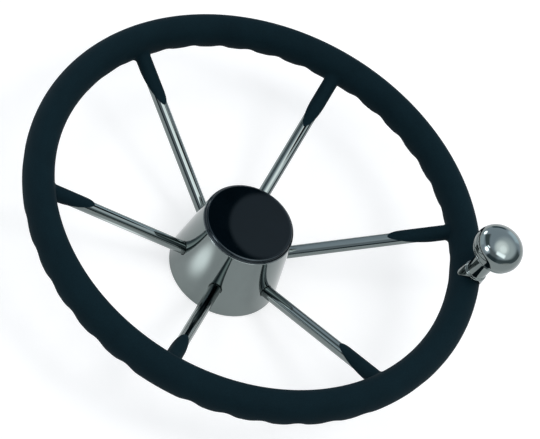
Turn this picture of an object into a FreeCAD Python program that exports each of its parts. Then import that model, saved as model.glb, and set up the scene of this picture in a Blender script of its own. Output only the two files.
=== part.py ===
import FreeCAD, Part
import math
import os

# Boat steering wheel: a padded steel rim on six dished spokes, a conical hub
# with a taper bore for the helm shaft, a push-in centre cap and a spinner knob.
# Lengths are millimetres, angles are degrees. +Z points along the shaft towards
# the driver, and the origin is on the shaft axis at the hub's back face.
# Spokes lie at 0, 60, 120 ... degrees from +X.

# Rim: a round steel tube inside a moulded foam grip of oval section.
rim_centre_radius = 184.2
rim_height = 91.0
grip_half_width = 12.8
grip_half_depth = 15.9
ring_tube_radius = 8.0
ring_tube_wall = 1.5

# Finger ridges with narrow hollows between them, across the back of the grip only.
spoke_count = 6
ridges_per_gap = 6
ridge_depth = 1.7
ridge_sharpness = 2.0
ridge_tilt = 5.0
ridge_full_angle = 38.0
ridge_end_angle = 88.0

# Spokes and the foam sleeves that run down their outer ends.
spoke_radius = 5.4
spoke_wall = 1.2
dish_angle = 24.6
spoke_swing = 1.0
sleeve_wall = 1.15
sleeve_length = 58.3
sleeve_shift = 6.5
sleeve_shift_angle = 330.0
sleeve_back_length = 13.0
sleeve_root_fillet = 3.0

# Hub cone, spun from sheet, with a round hole for each spoke.
cone_base_radius = 49.0
cone_lip_radius = 39.3
cone_height = 67.0
cone_wall = 1.5
cone_edge_round = 0.6
spoke_hole_gap = 0.45

# Hub boss with the taper bore and keyway, and the plate that closes the back.
boss_radius = 19.0
boss_height = 44.0
boss_chamfer = 1.0
bore_back_radius = 9.525
bore_taper = 1.0 / 12.0
nut_seat_radius = 13.5
nut_seat_depth = 4.0
keyway_width = 4.8
keyway_depth = 2.4
plate_recess = 2.0
plate_thickness = 3.0

# Centre cap, one plastic moulding that pushes into the cone's mouth.
cap_radius = 38.5
cap_edge_height = 2.2
cap_edge_round = 0.9
cap_land_width = 3.2
cap_groove_depth = 0.5
cap_groove_width = 1.0
cap_crown = 1.3
cap_floor = 1.8
cap_skirt_wall = 1.8
cap_skirt_depth = 7.0
cap_skirt_gap = 0.35
cap_slot_count = 6
cap_slot_width = 6.0

# Spinner knob. Heights are measured from the rim tube's centre along the
# knob's own axis, which leans outwards a little.
knob_angle = 103.4
knob_lean = 6.4
foot_base_radius = 12.0
foot_side_half = 7.0
foot_side_slope = 0.6
foot_shoulder_radius = 9.9
foot_shoulder_height = 20.4
foot_bead_radius = 9.4
foot_bead_height = 22.0
foot_edge_round = 0.4
post_radius = 8.9
post_top = 47.6
saddle_gap = 0.1

# Through bolt that holds the knob's foot to the rim.
bolt_radius = 3.0
bolt_hole_gap = 0.3
bolt_grip_in_foot = 11.0
bolt_head_radius = 5.0
bolt_head_height = 4.6
bolt_socket_radius = 2.6
bolt_socket_depth = 2.6
saddle_washer_radius = 6.2
saddle_washer_thickness = 2.2
bolt_pocket_gap = 0.6

# Spindle, bearing and shell of the turning knob.
spindle_thread_radius = 4.0
spindle_thread_length = 10.5
spindle_radius = 5.0
spindle_length = 14.6
clip_groove_radius = 4.2
clip_height = 12.2
clip_thickness = 0.9
clip_radius = 7.6
clip_opening = 6.0
thrust_washer_thickness = 0.8
running_gap = 0.05
bushing_radius = 7.0
bushing_length = 10.6
collar_radius = 19.2
collar_step_radius = 20.3
collar_step_height = 2.5
collar_height = 5.0
collar_groove = 0.5
collar_hub_wall = 2.6
collar_spigot_height = 2.4
collar_underside_recess = 1.2
knob_gap = 0.2
ball_radius = 21.2
ball_half_height = 17.0
ball_side_radius = 14.6
ball_centre_height = 56.5
ball_wall = 1.5

# Space between parts that are fitted together but do not move.
fit_gap = 0.05

dish_rise = math.tan(math.radians(dish_angle))
spoke_root_height = rim_height - rim_centre_radius * dish_rise
spoke_run = rim_centre_radius / math.cos(math.radians(dish_angle))
sleeve_radius = spoke_radius + sleeve_wall
cone_lean = (cone_base_radius - cone_lip_radius) / cone_height
cone_mouth_radius = cone_lip_radius - cone_wall


def point(x, y, z):
    return FreeCAD.Vector(x, y, z)


def turned(rows):
    """A solid of revolution about Z from (radius, height) corners."""
    corners = [point(r, 0, z) for r, z in rows]
    corners.append(corners[0])
    face = Part.Face(Part.makePolygon(corners))
    return face.revolve(point(0, 0, 0), point(0, 0, 1), 360)


def cylinder(radius, low, high):
    return Part.makeCylinder(radius, high - low, point(0, 0, low))


def round_rims(shape, size, rims):
    """Round the circular edges that have the given (radius, height)."""
    edges = []
    for edge in shape.Edges:
        if edge.Degenerated or not isinstance(edge.Curve, Part.Circle):
            continue
        for r, z in rims:
            if abs(edge.Curve.Radius - r) < 0.01 and abs(edge.Curve.Center.z - z) < 0.01:
                edges.append(edge)
    return shape.makeFillet(size, edges)


def around(shape, angle):
    """A copy turned about the shaft axis."""
    copy = shape.copy()
    copy.rotate(point(0, 0, 0), point(0, 0, 1), angle)
    return copy


def to_spoke(shape, index=0):
    """Lay a shape made along Z, with z=0 beside the shaft axis, onto a spoke."""
    copy = shape.copy()
    copy.rotate(point(0, 0, 0), point(0, 1, 0), 90.0 - dish_angle)
    copy.translate(point(0, 0, spoke_root_height))
    # Every spoke swings sideways a little, about its outer end.
    copy.rotate(point(rim_centre_radius, 0, 0), point(0, 0, 1), -spoke_swing)
    return around(copy, index * 360.0 / spoke_count)


def to_knob(shape):
    """Stand a shape made along Z, with z=0 at the rim tube's centre, at the knob."""
    copy = shape.copy()
    copy.rotate(point(0, 0, 0), point(0, 1, 0), knob_lean)
    copy.translate(point(rim_centre_radius, 0, rim_height))
    return around(copy, knob_angle)


def rim_torus(radius):
    return Part.makeTorus(rim_centre_radius, radius, point(0, 0, rim_height))


def oval_torus(gap):
    """The grip's plain oval section swept round, grown by a gap."""
    centre = point(rim_centre_radius, 0, rim_height)
    depth_end = centre + point(0, 0, grip_half_depth + gap)
    width_end = centre + point(grip_half_width + gap, 0, 0)
    if grip_half_depth >= grip_half_width:
        oval = Part.Ellipse(depth_end, width_end, centre)
    else:
        oval = Part.Ellipse(width_end, depth_end, centre)
    face = Part.Face(Part.Wire(oval.toShape()))
    return face.revolve(point(0, 0, 0), point(0, 0, 1), 360)


def ridge_reach(section_angle):
    """1 at the back of the section, tilted outwards a little, and 0 at its sides."""
    from_back = abs((section_angle + 90.0 - ridge_tilt + 180.0) % 360.0 - 180.0)
    t = (from_back - ridge_full_angle) / (ridge_end_angle - ridge_full_angle)
    t = min(max(t, 0.0), 1.0)
    return 1.0 - t * t * (3.0 - 2.0 * t)


def ridge_wave(slot_place):
    """0 on a ridge and over a spoke, 1 in the bottom of a finger hollow."""
    if slot_place < 0.5 or slot_place > ridges_per_gap + 0.5:
        return 0.0
    return (0.5 - 0.5 * math.cos(2.0 * math.pi * (slot_place - 0.5))) ** ridge_sharpness


def grip_skin():
    """The foam's outer skin: one smooth closed tube, wavy at the back."""
    poles_per_slot = 8
    poles_per_gap = (ridges_per_gap + 1) * poles_per_slot
    around_count = spoke_count * poles_per_gap
    section_count = 24
    # A cubic spline runs a little inside its poles; these widen them again.
    section_gain = 3.0 / (2.0 + math.cos(2.0 * math.pi / section_count))
    ring_gain = 3.0 / (2.0 + math.cos(2.0 * math.pi / around_count))
    wave_gain = 3.0 / (2.0 + math.cos(2.0 * math.pi / poles_per_slot))
    rows = []
    for i in range(around_count):
        # The spline starts half a slot past a spoke, on the first ridge's crest.
        slot_place = i / poles_per_slot + 0.5
        angle = 2.0 * math.pi * slot_place / (spoke_count * (ridges_per_gap + 1))
        wave = wave_gain * ridge_depth * ridge_wave(slot_place % (ridges_per_gap + 1))
        row = []
        for j in range(section_count):
            section = 2.0 * math.pi * j / section_count
            dip = wave * ridge_reach(math.degrees(section))
            nx = math.cos(section) / grip_half_width
            nz = math.sin(section) / grip_half_depth
            n = math.hypot(nx, nz)
            x = section_gain * grip_half_width * math.cos(section) - dip * nx / n
            z = section_gain * grip_half_depth * math.sin(section) - dip * nz / n
            radius = ring_gain * (rim_centre_radius + x)
            row.append(point(radius * math.cos(angle), radius * math.sin(angle), rim_height + z))
        rows.append(row)
    skin = Part.BSplineSurface()
    skin.buildFromPolesMultsKnots(
        rows, [1] * (around_count + 1), [1] * (section_count + 1),
        list(range(around_count + 1)), list(range(section_count + 1)),
        True, True, 3, 3)
    faces = []
    for index in range(spoke_count):
        start = index * poles_per_gap
        plain = start + ridges_per_gap * poles_per_slot
        for low, high in ((start, plain), (plain, start + poles_per_gap)):
            stretch = skin.copy()
            stretch.segment(low, high, 0, section_count)
            faces.append(stretch.toShape())
    shell = Part.Shell(faces)
    shell.sewShape()
    body = Part.Solid(shell)
    if body.Volume < 0:
        body.reverse()
    return body


def sleeve_reach(index):
    """How far a sleeve runs from the rim tube's centre, along its spoke."""
    angle = index * 360.0 / spoke_count - sleeve_shift_angle
    return sleeve_length - sleeve_shift * math.cos(math.radians(angle))


def sleeve(index):
    """A foam sleeve with its end cut off slantwise."""
    reach = sleeve_reach(index)
    tip = spoke_run - reach
    body = cylinder(sleeve_radius, tip, spoke_run)
    # A quarter turn brings the cylinder's seam to its side.
    body.rotate(point(0, 0, 0), point(0, 0, 1), 90.0)
    # The slant starts at the tip on the driver's side, which is -X here.
    slope = math.atan2(reach - sleeve_back_length, 2.0 * sleeve_radius)
    size = 4.0 * reach
    keep = Part.makeBox(size, size, size, point(-size / 2.0, -size / 2.0, 0))
    keep.rotate(point(0, 0, 0), point(0, 1, 0), -math.degrees(slope))
    keep.translate(point(-sleeve_radius, 0, tip))
    return to_spoke(body.common(keep), index)


def sleeve_roots(grip):
    """The edges where the round sleeves run into the grip's skin."""
    roots = []
    for edge in grip.Edges:
        kinds = {type(face.Surface) for face in grip.ancestorsOfType(edge, Part.Face)}
        if kinds == {Part.Cylinder, Part.BSplineSurface}:
            roots.append(edge)
    return roots


def bolt_pocket():
    """The space in the foam behind the rim tube for the bolt's head."""
    pocket = cylinder(saddle_washer_radius + bolt_pocket_gap, -2.0 * grip_half_depth, 0)
    hole = cylinder(bolt_radius + bolt_hole_gap, -grip_half_depth, 2.0 * grip_half_depth)
    return to_knob(pocket.fuse(hole))


def make_rim_grip():
    grip = grip_skin()
    for index in range(spoke_count):
        grip = grip.fuse(sleeve(index))
    grip = grip.makeFillet(sleeve_root_fillet, sleeve_roots(grip))
    grip = grip.cut(rim_torus(ring_tube_radius + fit_gap))
    for index in range(spoke_count):
        grip = grip.cut(to_spoke(cylinder(spoke_radius + fit_gap, 0, spoke_run), index))
    return grip.cut(bolt_pocket())


def make_rim_ring():
    ring = rim_torus(ring_tube_radius).cut(rim_torus(ring_tube_radius - ring_tube_wall))
    hole = cylinder(bolt_radius + bolt_hole_gap, -grip_half_depth, grip_half_depth)
    return ring.cut(to_knob(hole))


def make_spoke(index):
    """A straight tube, coped to the boss at one end and to the ring at the other."""
    tube = cylinder(spoke_radius, 0, spoke_run)
    tube = tube.cut(cylinder(spoke_radius - spoke_wall, 0, spoke_run))
    tube = to_spoke(tube, index)
    tube = tube.cut(cylinder(boss_radius + fit_gap, -boss_height, 2.0 * boss_height))
    return tube.cut(rim_torus(ring_tube_radius + fit_gap))


def cone_radius(height):
    return cone_base_radius - cone_lean * height


def make_hub_cone():
    shell = turned([
        (cone_base_radius - cone_wall, 0),
        (cone_base_radius, 0),
        (cone_lip_radius, cone_height),
        (cone_mouth_radius, cone_height),
    ])
    shell = round_rims(shell, cone_edge_round, [(cone_base_radius, 0), (cone_lip_radius, cone_height)])
    for index in range(spoke_count):
        hole = cylinder(spoke_radius + spoke_hole_gap, boss_radius, 2.0 * cone_base_radius)
        shell = shell.cut(to_spoke(hole, index))
    return shell


def make_hub_boss():
    seat = boss_height - nut_seat_depth
    bore_seat_radius = bore_back_radius - bore_taper * seat / 2.0
    boss = turned([
        (bore_back_radius, 0),
        (boss_radius - boss_chamfer, 0),
        (boss_radius, boss_chamfer),
        (boss_radius, boss_height - boss_chamfer),
        (boss_radius - boss_chamfer, boss_height),
        (nut_seat_radius, boss_height),
        (nut_seat_radius, seat),
        (bore_seat_radius, seat),
    ])
    keyway = Part.makeBox(keyway_width, bore_back_radius + keyway_depth, boss_height,
                          point(-keyway_width / 2.0, 0, 0))
    return boss.cut(keyway)


def make_hub_back_plate():
    low = plate_recess
    high = plate_recess + plate_thickness
    inner = boss_radius + fit_gap
    return turned([
        (inner, low),
        (cone_radius(low) - cone_wall - fit_gap, low),
        (cone_radius(high) - cone_wall - fit_gap, high),
        (inner, high),
    ])


def make_center_cap():
    """Crowned disc with a raised edge, and a slotted skirt underneath."""
    low = cone_height + fit_gap
    edge_top = low + cap_edge_height
    land = cap_radius - cap_land_width
    groove = land - cap_groove_width
    skirt = cone_mouth_radius - cap_skirt_gap
    skirt_inner = skirt - cap_skirt_wall
    skirt_low = low - cap_skirt_depth
    ceiling = edge_top - cap_floor
    crown_top = edge_top + cap_crown
    crown_radius = (groove * groove + cap_crown * cap_crown) / (2.0 * cap_crown)
    half_angle = math.asin(groove / crown_radius) / 2.0
    crown = Part.Arc(point(groove, 0, edge_top),
                     point(crown_radius * math.sin(half_angle), 0,
                           crown_top - crown_radius * (1.0 - math.cos(half_angle))),
                     point(0, 0, crown_top)).toShape()
    corners = [
        point(0, 0, crown_top),
        point(0, 0, ceiling),
        point(skirt_inner, 0, ceiling),
        point(skirt_inner, 0, skirt_low),
        point(skirt, 0, skirt_low),
        point(skirt, 0, low),
        point(cap_radius, 0, low),
        point(cap_radius, 0, edge_top),
        point(land, 0, edge_top),
        point(land, 0, edge_top - cap_groove_depth),
        point(groove, 0, edge_top - cap_groove_depth),
        point(groove, 0, edge_top),
    ]
    wire = Part.Wire(Part.makePolygon(corners).Edges + [crown])
    cap = Part.Face(wire).revolve(point(0, 0, 0), point(0, 0, 1), 360)
    cap = round_rims(cap, cap_edge_round, [(cap_radius, edge_top)])
    for index in range(cap_slot_count):
        slot = Part.makeBox(2.0 * cap_skirt_wall, cap_slot_width, low - skirt_low,
                            point(skirt_inner - cap_skirt_wall / 2.0, -cap_slot_width / 2.0, skirt_low))
        cap = cap.cut(around(slot, (index + 0.5) * 360.0 / cap_slot_count))
    return cap


def make_knob_foot():
    """Turned foot and post, its sides milled to a wedge, cut to sit over the grip."""
    foot = turned([
        (0, 0),
        (foot_base_radius, 0),
        (foot_shoulder_radius, foot_shoulder_height),
        (foot_bead_radius, foot_shoulder_height),
        (foot_bead_radius, foot_bead_height),
        (post_radius, foot_bead_height),
        (post_radius, post_top),
        (0, post_top),
    ])
    foot = round_rims(foot, foot_edge_round, [
        (foot_shoulder_radius, foot_shoulder_height),
        (foot_bead_radius, foot_bead_height),
    ])
    # The milled sides meet in an edge along X, well inside the grip.
    wedge_low = grip_half_depth - foot_side_half / foot_side_slope
    wedge_half = (post_top - wedge_low) * foot_side_slope
    wedge = Part.Face(Part.makePolygon([
        point(-foot_base_radius, 0, wedge_low),
        point(-foot_base_radius, wedge_half, post_top),
        point(-foot_base_radius, -wedge_half, post_top),
        point(-foot_base_radius, 0, wedge_low),
    ]))
    foot = foot.common(wedge.extrude(point(2.0 * foot_base_radius, 0, 0)))
    foot = foot.cut(cylinder(bolt_radius, 0, grip_half_depth + bolt_grip_in_foot))
    foot = foot.cut(cylinder(spindle_thread_radius, post_top - spindle_thread_length, post_top))
    foot = to_knob(foot).cut(oval_torus(saddle_gap))
    # Only the piece above the grip is the foot; the rest falls inside the oval.
    return max(foot.Solids, key=lambda solid: solid.Volume)


def make_knob_bolt():
    seat = -ring_tube_radius - saddle_washer_thickness
    tip = grip_half_depth + bolt_grip_in_foot - bolt_radius
    bolt = cylinder(bolt_radius - fit_gap, seat, tip)
    head = cylinder(bolt_head_radius, seat - bolt_head_height, seat)
    socket_low = seat - bolt_head_height
    socket = Part.Face(Part.makePolygon([
        point(bolt_socket_radius * math.cos(math.radians(60.0 * k)),
              bolt_socket_radius * math.sin(math.radians(60.0 * k)), socket_low)
        for k in range(7)
    ])).extrude(point(0, 0, bolt_socket_depth))
    return to_knob(bolt.fuse(head).cut(socket).removeSplitter())


def make_knob_saddle_washer():
    """Thick washer, flat under the bolt's head and hollowed to the ring tube."""
    low = -ring_tube_radius - saddle_washer_thickness
    washer = cylinder(saddle_washer_radius, low, 0)
    washer = washer.cut(cylinder(bolt_radius + bolt_hole_gap, low, 0))
    washer = to_knob(washer).cut(rim_torus(ring_tube_radius + fit_gap))
    return washer


def make_knob_spindle():
    """Shoulder pin: threaded in the post, with a groove for the clip."""
    top = post_top + spindle_length
    groove_low = post_top + clip_height - fit_gap
    groove_high = post_top + clip_height + clip_thickness + fit_gap
    chamfer = spindle_radius - clip_groove_radius
    return to_knob(turned([
        (0, post_top - spindle_thread_length + fit_gap),
        (spindle_thread_radius - fit_gap, post_top - spindle_thread_length + fit_gap),
        (spindle_thread_radius - fit_gap, post_top),
        (spindle_radius, post_top),
        (spindle_radius, groove_low),
        (clip_groove_radius, groove_low),
        (clip_groove_radius, groove_high),
        (spindle_radius, groove_high),
        (spindle_radius, top - chamfer),
        (spindle_radius - chamfer, top),
        (0, top),
    ]))


def make_knob_thrust_washer():
    high = post_top + thrust_washer_thickness
    washer = cylinder(post_radius, post_top, high)
    return to_knob(washer.cut(cylinder(spindle_radius + fit_gap, post_top, high)))


def make_knob_clip():
    """Open spring clip in the spindle's groove, above the bushing."""
    low = post_top + clip_height
    high = low + clip_thickness
    clip = cylinder(clip_radius, low, high)
    clip = clip.cut(cylinder(clip_groove_radius + fit_gap, low, high))
    opening = Part.makeBox(clip_radius, clip_opening, clip_thickness, point(0, -clip_opening / 2.0, low))
    return to_knob(clip.cut(opening))


def collar_bottom():
    return post_top + thrust_washer_thickness + knob_gap


def make_knob_bushing():
    low = collar_bottom()
    high = low + bushing_length
    bushing = cylinder(bushing_radius, low, high)
    return to_knob(bushing.cut(cylinder(spindle_radius + running_gap, low, high)))


def ball_section_radius(height, wall):
    """Radius of the ball's side, less a wall, at a height along the knob's axis."""
    across = ball_side_radius - wall
    drop = height - ball_centre_height
    return ball_radius - ball_side_radius + math.sqrt(across * across - drop * drop)


def make_knob_collar():
    """Stepped plate under the ball, with a hub for the bushing."""
    low = collar_bottom()
    step = low + collar_step_height
    high = low + collar_height
    spigot = high + collar_spigot_height
    hub_top = low + bushing_length
    bore = bushing_radius + fit_gap
    hub = bore + collar_hub_wall
    spigot_radius = ball_section_radius(high, ball_wall) - fit_gap
    neck = collar_radius - collar_groove
    collar = turned([
        (bore, low),
        (hub, low),
        (hub + collar_underside_recess, low + collar_underside_recess),
        (neck - collar_underside_recess, low + collar_underside_recess),
        (neck, low),
        (collar_radius, low + collar_groove),
        (collar_radius, step - 2.0 * collar_groove),
        (neck, step - collar_groove),
        (neck, step),
        (collar_step_radius, step + collar_groove),
        (collar_step_radius, high),
        (spigot_radius, high),
        (spigot_radius, spigot),
        (spigot_radius - ball_wall, spigot),
        (spigot_radius - ball_wall, high),
        (hub, high),
        (hub, hub_top),
        (bore, hub_top),
    ])
    return to_knob(collar)


def make_knob_ball():
    """Flattened ball shell, open below where it sits on the collar's step."""
    low = collar_bottom() + collar_height + fit_gap
    # The section is a side arc and a flatter top arc that meet without a corner.
    side_x = ball_radius - ball_side_radius
    top_radius = ((side_x * side_x + ball_half_height * ball_half_height - ball_side_radius * ball_side_radius)
                  / (2.0 * (ball_half_height - ball_side_radius)))
    top_z = ball_centre_height + ball_half_height - top_radius
    meet = math.asin(side_x / (top_radius - ball_side_radius))
    edges = []
    ends = []
    for wall in (0.0, ball_wall):
        side = ball_side_radius - wall
        top = top_radius - wall
        start = math.asin((low - ball_centre_height) / side)
        middle = (start + math.pi / 2.0 - meet) / 2.0
        foot_end = point(ball_section_radius(low, wall), 0, low)
        joint = point(side_x + side * math.sin(meet), 0, ball_centre_height + side * math.cos(meet))
        top_end = point(0, 0, top_z + top)
        side_middle = point(side_x + side * math.cos(middle), 0, ball_centre_height + side * math.sin(middle))
        top_middle = point(top * math.sin(meet / 2.0), 0, top_z + top * math.cos(meet / 2.0))
        edges.append(Part.Arc(foot_end, side_middle, joint).toShape())
        edges.append(Part.Arc(joint, top_middle, top_end).toShape())
        ends.append((foot_end, top_end))
    edges.append(Part.makeLine(ends[0][0], ends[1][0]))
    edges.append(Part.makeLine(ends[0][1], ends[1][1]))
    wire = Part.Wire(Part.__sortEdges__(edges))
    return to_knob(Part.Face(wire).revolve(point(0, 0, 0), point(0, 0, 1), 360))


def make_nodes():
    nodes = {
        "rim_grip": make_rim_grip(),
        "rim_ring": make_rim_ring(),
        "hub_cone": make_hub_cone(),
        "hub_boss": make_hub_boss(),
        "hub_back_plate": make_hub_back_plate(),
        "center_cap": make_center_cap(),
        "knob_foot": make_knob_foot(),
        "knob_bolt": make_knob_bolt(),
        "knob_saddle_washer": make_knob_saddle_washer(),
        "knob_spindle": make_knob_spindle(),
        "knob_thrust_washer": make_knob_thrust_washer(),
        "knob_bushing": make_knob_bushing(),
        "knob_clip": make_knob_clip(),
        "knob_collar": make_knob_collar(),
        "knob_ball": make_knob_ball(),
    }
    for index in range(spoke_count):
        nodes["spoke_%d" % (index + 1)] = make_spoke(index)
    return nodes


os.makedirs("parts", exist_ok=True)
for name, shape in make_nodes().items():
    if not shape.isValid():
        print("not valid:", name)
    shape.exportStep("parts/%s.step" % name)
    print("%-20s solids %d  volume %9.1f mm3" % (name, len(shape.Solids), shape.Volume))
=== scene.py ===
import math

import bpy
from mathutils import Matrix, Vector


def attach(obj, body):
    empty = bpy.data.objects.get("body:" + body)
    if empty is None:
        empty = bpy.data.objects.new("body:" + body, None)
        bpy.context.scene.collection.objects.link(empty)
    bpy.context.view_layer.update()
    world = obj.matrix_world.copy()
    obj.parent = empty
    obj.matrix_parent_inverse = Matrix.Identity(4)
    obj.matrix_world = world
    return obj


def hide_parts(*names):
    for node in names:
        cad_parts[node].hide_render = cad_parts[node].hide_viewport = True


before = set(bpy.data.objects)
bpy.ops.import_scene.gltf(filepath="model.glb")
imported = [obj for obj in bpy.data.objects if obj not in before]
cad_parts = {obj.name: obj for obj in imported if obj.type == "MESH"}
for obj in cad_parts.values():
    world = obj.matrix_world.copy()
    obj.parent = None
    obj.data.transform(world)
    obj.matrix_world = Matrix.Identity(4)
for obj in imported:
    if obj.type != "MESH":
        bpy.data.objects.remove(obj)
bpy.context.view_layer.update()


# Ring tube: stainless tube bent into a circle and welded shut.
# The foam is moulded round it, so it only shows inside the bolt's hole.

rim_radius = 0.1842
rim_height = 0.091


def noise(tree, place, scale, detail):
    texture = tree.nodes.new("ShaderNodeTexNoise")
    texture.inputs["Scale"].default_value = scale
    texture.inputs["Detail"].default_value = detail
    tree.links.new(place, texture.inputs["Vector"])
    return texture.outputs["Fac"]


def maths(tree, operation, *values):
    """A sum on sockets and plain numbers."""
    node = tree.nodes.new("ShaderNodeMath")
    node.operation = operation
    for place, value in enumerate(values):
        if isinstance(value, float):
            node.inputs[place].default_value = value
        else:
            tree.links.new(value, node.inputs[place])
    return node.outputs["Value"]


def spread(tree, value, low, high, least, most, blend="LINEAR"):
    """One range of values laid over another."""
    node = tree.nodes.new("ShaderNodeMapRange")
    node.interpolation_type = blend
    for name, number in (("From Min", low), ("From Max", high), ("To Min", least), ("To Max", most)):
        node.inputs[name].default_value = number
    tree.links.new(value, node.inputs["Value"])
    return node.outputs["Result"]


def emboss(tree, height, strength, distance):
    """Fine relief in the surface."""
    bump = tree.nodes.new("ShaderNodeBump")
    bump.inputs["Strength"].default_value = strength
    bump.inputs["Distance"].default_value = distance
    tree.links.new(height, bump.inputs["Height"])
    tree.links.new(bump.outputs["Normal"], tree.nodes["Principled BSDF"].inputs["Normal"])


def steel_finish(name, colour, roughness, grain, scratch, stretch):
    """Bare stainless steel: fine tool or buffing lines in its gloss and its surface."""
    mat = bpy.data.materials.new(name)
    mat.use_nodes = True
    tree = mat.node_tree
    shader = tree.nodes["Principled BSDF"]
    shader.inputs["Metallic"].default_value = 1.0
    place = tree.nodes.new("ShaderNodeTexCoord")
    lay = tree.nodes.new("ShaderNodeMapping")
    lay.inputs["Scale"].default_value = stretch
    tree.links.new(place.outputs["Object"], lay.inputs["Vector"])
    lines = noise(tree, lay.outputs["Vector"], grain, 3.0)
    haze = noise(tree, place.outputs["Object"], 42.0, 4.0)
    tone = tree.nodes.new("ShaderNodeMix")
    tone.data_type = "RGBA"
    tone.inputs["A"].default_value = tuple(c * 0.92 for c in colour) + (1.0,)
    tone.inputs["B"].default_value = tuple(c * 1.08 for c in colour) + (1.0,)
    tree.links.new(haze, tone.inputs["Factor"])
    tree.links.new(tone.outputs["Result"], shader.inputs["Base Color"])
    gloss = spread(tree, maths(tree, "MULTIPLY", lines, haze), 0.1, 0.45, roughness * 0.7, roughness * 1.4)
    tree.links.new(gloss, shader.inputs["Roughness"])
    emboss(tree, lines, scratch, 0.0001)
    return mat


def finish_node(node, mat):
    """Give a piece that stays as the CAD shows it its own finish."""
    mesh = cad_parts[node].data
    if not mesh.materials:
        mesh.materials.append(mat)
    for place in range(len(mesh.materials)):
        mesh.materials[place] = mat


drawn_steel = steel_finish("drawn_steel", (0.42, 0.42, 0.41), 0.38, 260.0, 0.5, (1.0, 1.0, 1.0))
finish_node("rim_ring", drawn_steel)


# Hub boss and back plate: turned from stainless bar and disc, and welded together.
# The boss has the taper bore and keyway; the plate closes the back of the cone.

turned_steel = steel_finish("turned_steel", (0.50, 0.50, 0.49), 0.26, 520.0, 0.45, (0.15, 0.15, 3.0))
finish_node("hub_boss", turned_steel)
finish_node("hub_back_plate", turned_steel)


# Spokes: six straight stainless tubes, dished 24.6 degrees and polished to a mirror.
# They are coped to the boss at one end and to the ring tube at the other, and welded.

spoke_count = 6
spoke_radius = 0.0054
spoke_wall = 0.0012
dish = math.radians(24.6)
swing = math.radians(1.0)
boss_radius = 0.01905
ring_cope_radius = 0.00805

polished_steel = steel_finish("polished_steel", (0.170, 0.199, 0.196), 0.06, 150.0, 0.02, (1.0, 1.0, 1.0))


class Axis:
    """A straight line with an origin and two directions square to it."""

    def __init__(self, origin, along, across):
        self.origin = Vector(origin)
        self.along = Vector(along).normalized()
        self.side = self.along.cross(Vector(across)).normalized()
        self.across = self.side.cross(self.along).normalized()

    def at(self, radius, turn, reach):
        return (self.origin + self.across * (radius * math.cos(turn)) + self.side * (radius * math.sin(turn))
                + self.along * reach)

    def read(self, spot):
        gap = spot - self.origin
        x = gap.dot(self.across)
        y = gap.dot(self.side)
        return math.hypot(x, y), math.atan2(y, x), gap.dot(self.along)


def spoke_axis(index):
    """From the ring tube's centre down past the hub's axis; across points to the back."""
    turn = 2.0 * math.pi * index / spoke_count
    out = Vector((math.cos(turn), math.sin(turn), 0.0))
    lean = Vector((math.cos(turn - swing), math.sin(turn - swing), 0.0))
    inward = -lean * math.cos(dish) + Vector((0.0, 0.0, -math.sin(dish)))
    back = lean * math.sin(dish) + Vector((0.0, 0.0, -math.cos(dish)))
    return Axis(out * rim_radius + Vector((0.0, 0.0, rim_height)), inward, back)


def from_rows(name, rows, normals=None, ring=True, ends=(False, False)):
    """A mesh from rows of points, each row joined to the next by quads."""
    width = len(rows[0])
    points = [tuple(spot) for row in rows for spot in row]
    faces = []
    for k in range(len(rows) - 1):
        for i in range(width if ring else width - 1):
            j = (i + 1) % width
            faces.append((k * width + i, k * width + j, (k + 1) * width + j, (k + 1) * width + i))
    if ends[0]:
        faces.append(tuple(reversed(range(width))))
    if ends[1]:
        faces.append(tuple(range((len(rows) - 1) * width, len(rows) * width)))
    mesh = bpy.data.meshes.new(name)
    mesh.from_pydata(points, [], faces)
    mesh.validate()
    mesh.update()
    mesh.shade_smooth()
    if normals:
        flat = [tuple(n) for row in normals for n in row]
        mesh.normals_split_custom_set_from_vertices(flat)
    piece = bpy.data.objects.new(name, mesh)
    bpy.context.scene.collection.objects.link(piece)
    return piece


def first_reach(axis, radius, turn, start, stop, outside):
    """Where a line beside the axis first meets a surface, found by halving."""
    for _ in range(40):
        middle = (start + stop) / 2.0
        if outside(axis.at(radius, turn, middle)):
            start = middle
        else:
            stop = middle
    return (start + stop) / 2.0


def clear_of_boss(spot):
    return math.hypot(spot.x, spot.y) > boss_radius


def clear_of_ring(spot):
    return math.hypot(math.hypot(spot.x, spot.y) - rim_radius, spot.z - rim_height) > ring_cope_radius


spoke_sides = 96
spoke_rows = 24
for index in range(spoke_count):
    axis = spoke_axis(index)
    rows = []
    normals = []
    turns = [2.0 * math.pi * i / spoke_sides for i in range(spoke_sides)]
    for radius, flip in ((spoke_radius, 1.0), (spoke_radius - spoke_wall, -1.0)):
        high = [first_reach(axis, radius, t, 0.1, 0.0, clear_of_ring) for t in turns]
        low = [first_reach(axis, radius, t, 0.1, 0.195, clear_of_boss) for t in turns]
        skin = []
        for k in range(spoke_rows + 1):
            share = k / spoke_rows
            skin.append([axis.at(radius, t, h + (l - h) * share) for t, h, l in zip(turns, high, low)])
        if flip < 0.0:
            skin.reverse()
        rows += skin
        facing = [(axis.at(1.0, t, 0.0) - axis.origin) * flip for t in turns]
        normals += [facing] * (spoke_rows + 1)
    rows.append(rows[0])
    normals.append(normals[0])
    spoke = from_rows("spoke_tube_%d" % (index + 1), rows, normals)
    spoke.data.materials.append(polished_steel)
    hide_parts("spoke_%d" % (index + 1))
    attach(spoke, "wheel")


# Grip: one moulding of self-skinned foam, the rim and its six spoke sleeves together.
# The section is an upright oval, and six finger hollows lie across the back of each gap.

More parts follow.
